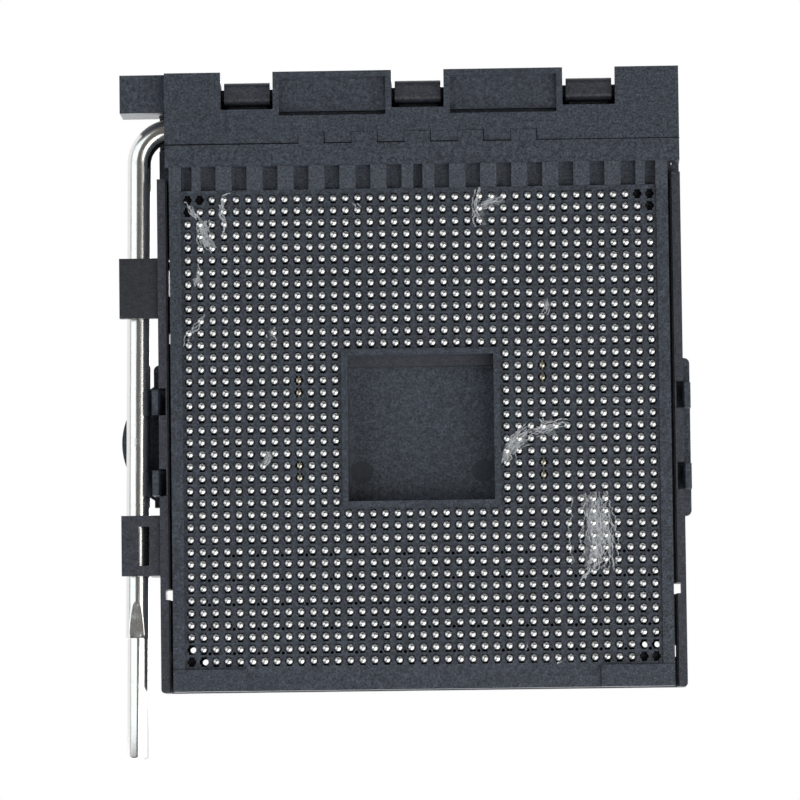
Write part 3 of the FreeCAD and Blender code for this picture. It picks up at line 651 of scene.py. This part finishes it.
def field_grid():
    """Perforated field of the base: a mouth by every site, a little toward the front, with wells behind."""
    sizes = bpy.context.scene.socket_sizes
    piece = Piece("base_ball_field")
    floor = FIELD_Z + sizes.cavity_depth / MM
    groups = [(columns, j) for j in range(-EDGE, EDGE + 1) for columns in field_row(j)]
    for columns, j in groups:
        left, right = columns[0] - HALF_PITCH, columns[-1] + HALF_PITCH
        mouths = [cavity_outline(i, j) if (i, j) in EMPTY_SITES
                  else cavity_outline(i, j + CAVITY_SHIFT, filled=True) for i in columns]
        loops = [square(left, right, j - HALF_PITCH, j + HALF_PITCH)] + mouths
        if len(columns) == 2:
            hole = ring(columns[0] + HALF_PITCH, j - HOLE_DROP, HOLE_RADIUS, 10)
            loops.append(hole)
            piece.well(hole, FIELD_Z, floor, 1)
        piece.patch(loops, FIELD_Z, up=False)
        for i, mouth in zip(columns, mouths):
            if (i, j) not in EMPTY_SITES:
                piece.well(mouth, FIELD_Z, floor, 1)
            elif (i, j) in OPEN_SITES:
                hole = ring(i + OPEN_HOLE_SHIFT, j, OPEN_HOLE_RADIUS, 20)
                piece.patch([cell(i, j, OPEN_FLOOR_HALF), hole], floor, up=False, mark=1)
    # Material 1 is painted near black: painted shade in the wells and on the floors of the open corners.
    return piece.make(["base_plastic", "recess"], "base")


def seam_shadow():
    """Painted shadow of the crack along the toothed parting line: open on the straights, nearly shut round
    the teeth.
    """
    piece = Piece("seam_shadow")

    def crack(x0, y0, x1, y1, width):
        half = width / 2
        piece.patch([square(x0 - half, x1 + half, y0 - half, y1 + half)], SEAT_Z, up=False)

    start = low("base_housing", 0)
    tip = SEAM_Y + SEAM_TOOTH_DEPTH
    for k in range(SEAM_TEETH):
        middle = (k - (SEAM_TEETH - 1) / 2) * SEAM_TOOTH_PITCH
        left, right = middle - SEAM_TOOTH / 2, middle + SEAM_TOOTH / 2
        crack(start, SEAM_Y, left, SEAM_Y, SEAM_SHUT if k == 0 else SEAM_OPEN)
        crack(left, SEAM_Y, left, tip, SEAM_SHUT)
        crack(left, tip, right, tip, SEAM_FAINT)
        crack(right, SEAM_Y, right, tip, SEAM_FAINT)
        start = right
    crack(start, SEAM_Y, HEAD_SIDE, SEAM_Y, SEAM_OPEN)
    return piece.make(["recess"], "base")


def ejector_marks():
    """Row of faint discs left by the ejector pins beside the parting line."""
    piece = Piece("ejector_marks")
    for k in range(EJECTOR_COUNT):
        x = (k - (EJECTOR_COUNT - 1) / 2) * EJECTOR_PITCH + EJECTOR_SHIFT
        piece.patch([ring(x, EJECTOR_ROW, EJECTOR_RADIUS, 32)], SEAT_Z, up=False)
    return piece.make(["worn_plastic"], "base")


def ball_mesh(rings=6, around=16):
    """Lower part of a unit ball, from its pole down past its widest ring."""
    corners, faces = [(0.0, 0.0, -1.0)], []
    for r in range(1, rings + 1):
        tilt = BALL_WRAP * r / rings
        corners += [(math.sin(tilt) * math.cos(2 * math.pi * k / around),
                     math.sin(tilt) * math.sin(2 * math.pi * k / around), -math.cos(tilt))
                    for k in range(around)]
    for k in range(around):
        after = (k + 1) % around
        faces.append((0, 1 + after, 1 + k))
        for r in range(rings - 1):
            inner, outer = 1 + r * around, 1 + (r + 1) * around
            faces.append((inner + k, inner + after, outer + after, outer + k))
    return np.array(corners), faces


def contact_tails():
    """Rounded tails of the eight bare contacts, one in the mouth of each cavity."""
    unit, faces = ball_mesh()
    piece = Piece("contact_tails")
    for x, y in sorted(BARE_SITES):
        piece.add(unit * np.array([TAIL_RADIUS, TAIL_RADIUS, TAIL_DEPTH]) + np.array([x, y, TAIL_Z]), faces)
    return piece.make(["contact_metal"], "base", smooth=True)


def solder_balls():
    """All the balls, each a little flattened, leaned and shifted as reflow leaves them."""
    sizes = bpy.context.scene.socket_sizes
    chance = random.Random(BALL_SEED)
    unit, faces = ball_mesh()
    radius = sizes.ball_width / MM / 2
    banks = {}
    for i, j in SOLDERED:
        row = "head" if j > VOID_EDGE else "front" if j < -VOID_EDGE else "centre"
        column = "lever" if i > VOID_EDGE else "far" if i < -VOID_EDGE else "middle"
        banks.setdefault((row, column), []).append((i, j))
    for (row, column), sites in banks.items():
        piece = Piece(f"balls_{row}_{column}")
        for i, j in sites:
            swell = Vector([chance.uniform(*BALL_SWELL) for _ in range(3)])
            lean = Matrix.Rotation(chance.uniform(-BALL_LEAN, BALL_LEAN), 3, "X") @ \
                Matrix.Rotation(chance.uniform(-BALL_LEAN, BALL_LEAN), 3, "Y")
            shape = np.array([list(lean @ (Vector(c) * radius * BALL_FILL)) for c in unit]) * np.array(swell)
            shape += np.array([i + chance.uniform(-BALL_WANDER, BALL_WANDER),
                               j + chance.uniform(-BALL_WANDER, BALL_WANDER), BALL_LOW + radius])
            piece.add(shape, faces)
        piece.make(["solder"], "base", [f"solder_balls_{row}_{column}"], smooth=True)


def cover_moulding():
    """The sliding cover, open over its pin field and slit beside the base, with its darker rear ear."""
    mesh = opened_copy("sliding_cover", COVER_Z, True, "cover_moulding")
    for span_y in LIGHT_SLITS:
        cut_slot(mesh, LIGHT_SLIT_X, span_y, (COVER_UNDER, COVER_Z))
    mesh.materials.append(finish("cover_plastic"))
    mesh.materials.append(finish("ear_plastic"))
    for face in mesh.polygons:
        x, y = face.center.x / MM, face.center.y / MM
        face.material_index = int(x > EAR_INSIDE and EAR_SPAN[0] < y < EAR_SPAN[1])
    soften(settle(mesh, "cover_moulding", "cover", ["sliding_cover"]), COVER_EDGE)


def pin_grid():
    """Perforated field of the cover's top, with a round hole over every contact."""
    sizes = bpy.context.scene.socket_sizes
    piece = Piece("cover_pin_field")
    radius = sizes.pin_hole / MM / 2
    for site in SITES:
        hole = ring(*site, radius, 12)
        piece.patch([cell(*site, HALF_PITCH), hole], COVER_Z, up=True)
        if site not in OPEN_SITES:
            piece.well(hole, COVER_Z, COVER_Z - PIN_HOLE_DEPTH, 1)
    # Material 1 is painted near black: painted shade inside the pin holes.
    return piece.make(["cover_plastic", "recess"], "cover")


def skirt_steps():
    """Step inside each skirt, before and past its window, that narrows the gap beside the base."""
    piece = Piece("skirt_steps")
    for x0, x1 in ((SKIRT_INSIDE - SKIRT_STEP, SKIRT_INSIDE), (-SKIRT_INSIDE, SKIRT_STEP - SKIRT_INSIDE)):
        for y0, y1 in ((low("sliding_cover", 1), SIDE_WINDOW[0]), (SIDE_WINDOW[1], SKIRT_END)):
            piece.block(x0, x1, y0, y1, *SKIRT_STEP_Z)
    soften(piece.make(["cover_plastic"], "cover"), STEP_EDGE)


def contact_fingers():
    """Two plated fingers seen down each pin hole."""
    piece = Piece("contact_fingers")
    bottom, top = (COVER_Z - depth for depth in FINGER_DEPTHS)
    for x, y in SITES:
        if (x, y) in OPEN_SITES:
            continue
        for side in (-1, 1):
            x0, x1 = sorted(x + side * reach for reach in FINGER_SPAN)
            piece.block(x0, x1, y - FINGER_HALF, y + FINGER_HALF, bottom, top)
    return piece.make(["contact_metal"], "cover")


def cap_moulding():
    """The pick-up cap, with its flat faces merged."""
    shape = node_shape("pickup_cap")
    merge_flat(shape)
    mesh = bare_mesh(shape, "cap_moulding")
    mesh.materials.append(finish("cap_plastic"))
    soften(settle(mesh, "cap_moulding", "cap", ["pickup_cap"]), CAP_EDGE)


def cap_marks():
    """Floors of the two ejector marks under the cap, duller than the skin round them."""
    piece = Piece("cap_marks")
    for x in CAP_MARKS_X:
        disc = ring(x, CAP_MARKS_Y, CAP_MARK_RADIUS, 48)
        piece.patch([disc], CAP_FLOOR + CAP_MARK_DEPTH - CAP_MARK_LIFT, up=False)
    return piece.make(["cap_mark_plastic"], "cap")


def along(path, distance):
    """The point of a line at this distance from its start, and the direction there."""
    for (x0, y0), (x1, y1) in zip(path, path[1:]):
        length = math.hypot(x1 - x0, y1 - y0)
        direction = ((x1 - x0) / length, (y1 - y0) / length)
        if distance <= length or (x1, y1) == path[-1]:
            break
        distance -= length
    return (x0 + direction[0] * distance, y0 + direction[1] * distance), direction


def flux_strand(piece, chance, path, width, breadth, mark):
    """One flat wavering strand of dried flux within a mark of this width."""
    total = sum(math.dist(a, b) for a, b in zip(path, path[1:]))
    begin, end = sorted((chance.uniform(-0.05, 0.55) * total, chance.uniform(0.45, 1.05) * total))
    offset = chance.gauss(0, width / FLUX_SPREAD)
    height = FIELD_Z - chance.uniform(*FLUX_HEIGHT)
    phase, drift = chance.uniform(0, 6), 0.0
    corners, distance = [], max(0.0, begin)
    while distance < end:
        (x, y), (dx, dy) = along(path, distance)
        drift += chance.gauss(0, FLUX_DRIFT + width * FLUX_DRIFT_SHARE)
        side = offset + drift + FLUX_SWAY * math.sin(phase + distance * FLUX_WAVES)
        half = breadth * chance.uniform(0.3, 0.7)
        corners += [(x - dy * (side + k), y + dx * (side + k), height) for k in (-half, half)]
        distance += FLUX_STEP
    piece.add(corners, [(k, k + 2, k + 3, k + 1) for k in range(0, len(corners) - 2, 2)], mark)


def dried_flux_marks():
    """Whitish strands and thin films that run between the balls."""
    chance = random.Random(FLUX_SEED)
    piece = Piece("dried_flux_marks")
    for path, width, strands, films in FLUX_MARKS:
        for _ in range(strands):
            flux_strand(piece, chance, path, width, STRAND_BREADTH, 0)
        for _ in range(films):
            flux_strand(piece, chance, path, width, FILM_BREADTH, 1)
    return piece.make(["flux", "flux_film"], "base")


def lever_line():
    """Centre line of the wire as close points, with the places along Y where the grip starts and ends."""
    turn = math.radians(90) - ARM_SPLAY
    setback = BEND_RADIUS * math.tan(turn / 2)
    points = [(low("lever", 0), SHAFT_Y, SHAFT_Z)]
    reach = CRANK_HALF + CRANK_RUN_OUT
    for middle in CRANK_MIDDLES:
        for offset in np.linspace(-reach, reach, CRANK_POINTS):
            share = min(1.0, max(0.0, (CRANK_HALF - abs(offset)) / CRANK_SLOPE))
            share = share * share * (3 - 2 * share)
            points.append((middle + offset, SHAFT_Y + CRANK_SHIFT * share, SHAFT_Z + CRANK_LIFT * share))
    for step in range(BEND_STEPS + 1):
        angle = turn * step / BEND_STEPS
        points.append((ARM_X - setback + BEND_RADIUS * math.sin(angle),
                       SHAFT_Y - BEND_RADIUS * (1 - math.cos(angle)), SHAFT_Z))
    length = (SHAFT_Y - low("lever", 1)) / math.cos(ARM_SPLAY)
    grip = length - GRIP_LENGTH
    runs = [grip - WEDGE_LENGTH - WEDGE_LEAD]
    runs += [grip - WEDGE_LENGTH * (1 - k / WEDGE_STEPS) for k in range(WEDGE_STEPS + 1)]
    runs += [grip + step for step in GRIP_RINGS] + [length - step for step in TIP_RINGS]
    points += [(ARM_X + run * math.sin(ARM_SPLAY), SHAFT_Y - run * math.cos(ARM_SPLAY), SHAFT_Z)
               for run in runs]
    return points, SHAFT_Y - grip * math.cos(ARM_SPLAY), points[-1][1]


def on_grip(y, grip_start):
    return y < grip_start - GRIP_SLACK


def wire_reach(angle, y, grip_start, end_y):
    """Distance of the wire's skin from its line at this angle and place along the arm."""
    reach = WIRE_RADIUS
    if on_grip(y, grip_start):
        half_turn = math.pi / FLATS
        off_corner = (angle - GRIP_TURN) % (2 * half_turn) - half_turn
        reach = min(GRIP_CORNER, GRIP_HALF_WIDTH / math.cos(half_turn - abs(off_corner)))
    elif y <= grip_start + WEDGE_LENGTH:
        cut = (grip_start + WEDGE_LENGTH - y) / WEDGE_LENGTH
        toward = math.cos(angle - WEDGE_SIDE)
        if toward > WEDGE_LIMIT and y > grip_start + WEDGE_BOW * (1 - toward):
            reach = min(reach, (WIRE_RADIUS - WEDGE_DEPTH * cut ** WEDGE_CURVE) / toward)
    bevel = min(1.0, (y - end_y) / TIP_LENGTH)
    return reach * (1 - TIP_ROUNDING + TIP_ROUNDING * math.sqrt(max(0.0, bevel)))


def lever_wire():
    """The wire swept round its line, with coined flats on the grip and a wedge cut before it."""
    points, grip_start, end_y = lever_line()
    piece = Piece("lever_wire")
    line = [Vector(point) for point in points]
    up = Vector((0, 0, 1))
    corners = []
    for k, here in enumerate(line):
        ahead = (line[min(k + 1, len(line) - 1)] - line[max(k - 1, 0)]).normalized()
        side = up.cross(ahead).normalized()
        lift = ahead.cross(side).normalized()
        shift = GRIP_OFFSET if on_grip(here.y, grip_start) else 0.0
        for step in range(AROUND):
            angle = 2 * math.pi * step / AROUND
            reach = wire_reach(angle, here.y, grip_start, end_y)
            corners.append(here + side * (reach * math.cos(angle) + shift) + lift * (reach * math.sin(angle)))
    faces = []
    for k in range(len(line) - 1):
        for step in range(AROUND):
            after = (step + 1) % AROUND
            faces.append((k * AROUND + step, (k + 1) * AROUND + step,
                          (k + 1) * AROUND + after, k * AROUND + after))
    faces.append(tuple(range(AROUND)))
    faces.append(tuple((len(line) - 1) * AROUND + k for k in reversed(range(AROUND))))
    piece.add(corners, faces)
    item = piece.make(["lever_steel"], "lever", ["lever"], smooth=True)
    creases = item.modifiers.new("creases", "EDGE_SPLIT")
    creases.split_angle = CREASE


def dress_node(node, material):
    """A node whose shape is right keeps it and gets its finish."""
    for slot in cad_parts[node].material_slots:
        slot.material = finish(material)


class SocketOperator(bpy.types.Operator):
    """Shared behaviour of the operators below."""
    bl_options = {"REGISTER", "UNDO"}


class AddBase(SocketOperator):
    """Make the base housing with its perforated ball field and its bare contacts"""
    bl_idname = "pin_socket.add_base"
    bl_label = "Base housing"

    def execute(self, context):
        base_moulding()
        field_grid()
        seam_shadow()
        ejector_marks()
        contact_tails()
        dress_node("bare_contacts", "contact_metal")
        return {"FINISHED"}


class AddBalls(SocketOperator):
    """Make the solder balls in eight banks"""
    bl_idname = "pin_socket.add_balls"
    bl_label = "Solder balls"

    def execute(self, context):
        solder_balls()
        return {"FINISHED"}


class AddCover(SocketOperator):
    """Make the sliding cover with its pin field and the contacts under it"""
    bl_idname = "pin_socket.add_cover"
    bl_label = "Sliding cover"

    def execute(self, context):
        cover_moulding()
        pin_grid()
        skirt_steps()
        contact_fingers()
        return {"FINISHED"}


class AddLever(SocketOperator):
    """Make the bent steel lever and finish the wear plates round its shaft"""
    bl_idname = "pin_socket.add_lever"
    bl_label = "Lever and wear plates"

    def execute(self, context):
        lever_wire()
        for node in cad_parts:
            if "wear_plate" in node:
                dress_node(node, "plate_steel")
        return {"FINISHED"}


class AddCap(SocketOperator):
    """Make the pick-up cap"""
    bl_idname = "pin_socket.add_cap"
    bl_label = "Pick-up cap"

    def execute(self, context):
        cap_moulding()
        cap_marks()
        return {"FINISHED"}


class AddFlux(SocketOperator):
    """Strew the dried flux over the ball side"""
    bl_idname = "pin_socket.add_flux"
    bl_label = "Dried flux"

    def execute(self, context):
        dried_flux_marks()
        return {"FINISHED"}


def add_softbox(name, sideways, lift, distance, width, height, outline, brightness, tint):
    """Area lamp that faces the socket, with its width square to Y."""
    turn, rise = math.radians(sideways), math.radians(lift)
    direction = Vector((-math.sin(turn) * math.cos(rise), math.sin(rise), -math.cos(turn) * math.cos(rise)))
    lamp = bpy.data.lights.new(name, "AREA")
    lamp.shape = outline
    lamp.size, lamp.size_y = width, height
    area = width * height * (math.pi / 4 if outline == "ELLIPSE" else 1.0)
    lamp.energy = math.pi * area * brightness
    lamp.color = tint
    item = bpy.data.objects.new(name, lamp)
    item.location = direction * distance
    across = Vector((0, 1, 0)).cross(direction).normalized()
    facing = Matrix((across, direction.cross(across), direction)).transposed()
    item.rotation_euler = facing.to_euler()
    item.visible_camera = False
    bpy.context.scene.collection.objects.link(item)


def white_surround():
    """White to the camera; pale to the plastic; white to the metal but for the dim side behind the camera."""
    world = bpy.data.worlds.new("studio")
    bpy.context.scene.world = world
    graph = Graph(world)
    camera, glossy, through = (graph.node("ShaderNodeLightPath", output=name) for name in
                               ("Is Camera Ray", "Is Glossy Ray", "Is Transmission Ray"))
    direction = graph.node("ShaderNodeTexCoord", output="Generated")
    height = graph.node("ShaderNodeSeparateXYZ", values={0: direction}, output=2)
    open_side = graph.ramp(height * 0.5 + 0.5, OPEN_SIDE)
    white = graph.node("ShaderNodeClamp", values={"Value": camera + through + glossy * open_side})
    room = graph.mix(glossy, ROOM_LIGHT, ROOM_MIRRORED)
    tint = graph.mix(white, room, WHITE)
    shader = graph.node("ShaderNodeBackground", values={"Color": tint, "Strength": 1.0})
    graph.node("ShaderNodeOutputWorld", values={"Surface": shader})


def pale_floor():
    """Floor under the seat plane, seen from above only, so that the ball side can be looked at."""
    mesh = bpy.data.meshes.new("studio_floor")
    corners = [(x, y, 0.0) for x, y in cell(0.0, 0.0, FLOOR_HALF)]
    mesh.from_pydata(corners, [], [(0, 1, 2, 3)])
    graph = Graph(bpy.data.materials.new("pale_floor"))
    tone = graph.mix(graph.noise(300.0), (0.90, 0.90, 0.90, 1.0), (0.94, 0.94, 0.94, 1.0))
    matt = graph.node("ShaderNodeBsdfDiffuse", values={"Color": tone})
    clear = graph.node("ShaderNodeBsdfTransparent")
    under = graph.node("ShaderNodeNewGeometry", output="Backfacing")
    graph.node("ShaderNodeOutputMaterial", values={
        "Surface": graph.node("ShaderNodeMixShader", values={0: under, 1: matt, 2: clear})})
    mesh.materials.append(graph.owner)
    floor = bpy.data.objects.new("studio_floor", mesh)
    floor.location.z = -FLOOR_DROP
    bpy.context.scene.collection.objects.link(floor)
    floor.visible_diffuse = floor.visible_glossy = floor.visible_transmission = floor.visible_shadow = False


def add_camera():
    data = bpy.data.cameras.new("camera")
    data.lens = CAMERA_LENS
    data.sensor_width = CAMERA_SENSOR
    camera = bpy.data.objects.new("camera", data)
    camera.location = Vector(CAMERA_PLACE) * MM
    camera.rotation_euler = [math.radians(angle) for angle in CAMERA_TURN]
    bpy.context.scene.collection.objects.link(camera)
    bpy.context.scene.camera = camera


class AddStage(SocketOperator):
    """Add the floor, the pale surround, the softboxes and the camera"""
    bl_idname = "pin_socket.add_stage"
    bl_label = "Studio"

    def execute(self, context):
        pale_floor()
        white_surround()
        for softbox in SOFTBOXES:
            add_softbox(*softbox)
        add_camera()
        context.scene.view_settings.view_transform = "Standard"
        return {"FINISHED"}


class SocketPanel(bpy.types.Panel):
    """Lists the pieces of the socket, with their sizes and colours"""
    bl_idname = "VIEW3D_PT_pin_socket"
    bl_label = "Pin-grid socket"
    bl_space_type = "VIEW_3D"
    bl_region_type = "UI"
    bl_category = "Socket"

    def draw(self, context):
        for operator in PIECE_OPERATORS:
            self.layout.operator(operator.bl_idname)
        for group in (context.scene.socket_sizes, context.scene.socket_colours):
            box = self.layout.box()
            for name in group.__annotations__:
                box.prop(group, name)


PIECE_OPERATORS = (AddBase, AddBalls, AddCover, AddLever, AddCap, AddFlux, AddStage)
CLASSES = (SocketSizes, SocketColours) + PIECE_OPERATORS + (SocketPanel,)


def register():
    for item in CLASSES:
        bpy.utils.register_class(item)
    bpy.types.Scene.socket_sizes = PointerProperty(type=SocketSizes)
    bpy.types.Scene.socket_colours = PointerProperty(type=SocketColours)


def unregister():
    del bpy.types.Scene.socket_colours
    del bpy.types.Scene.socket_sizes
    for item in reversed(CLASSES):
        bpy.utils.unregister_class(item)


def main():
    register()
    bpy.ops.pin_socket.add_base()
    bpy.ops.pin_socket.add_balls()
    bpy.ops.pin_socket.add_cover()
    bpy.ops.pin_socket.add_lever()
    bpy.ops.pin_socket.add_cap()
    bpy.ops.pin_socket.add_flux()
    bpy.ops.pin_socket.add_stage()


if __name__ == "__main__":
    main()
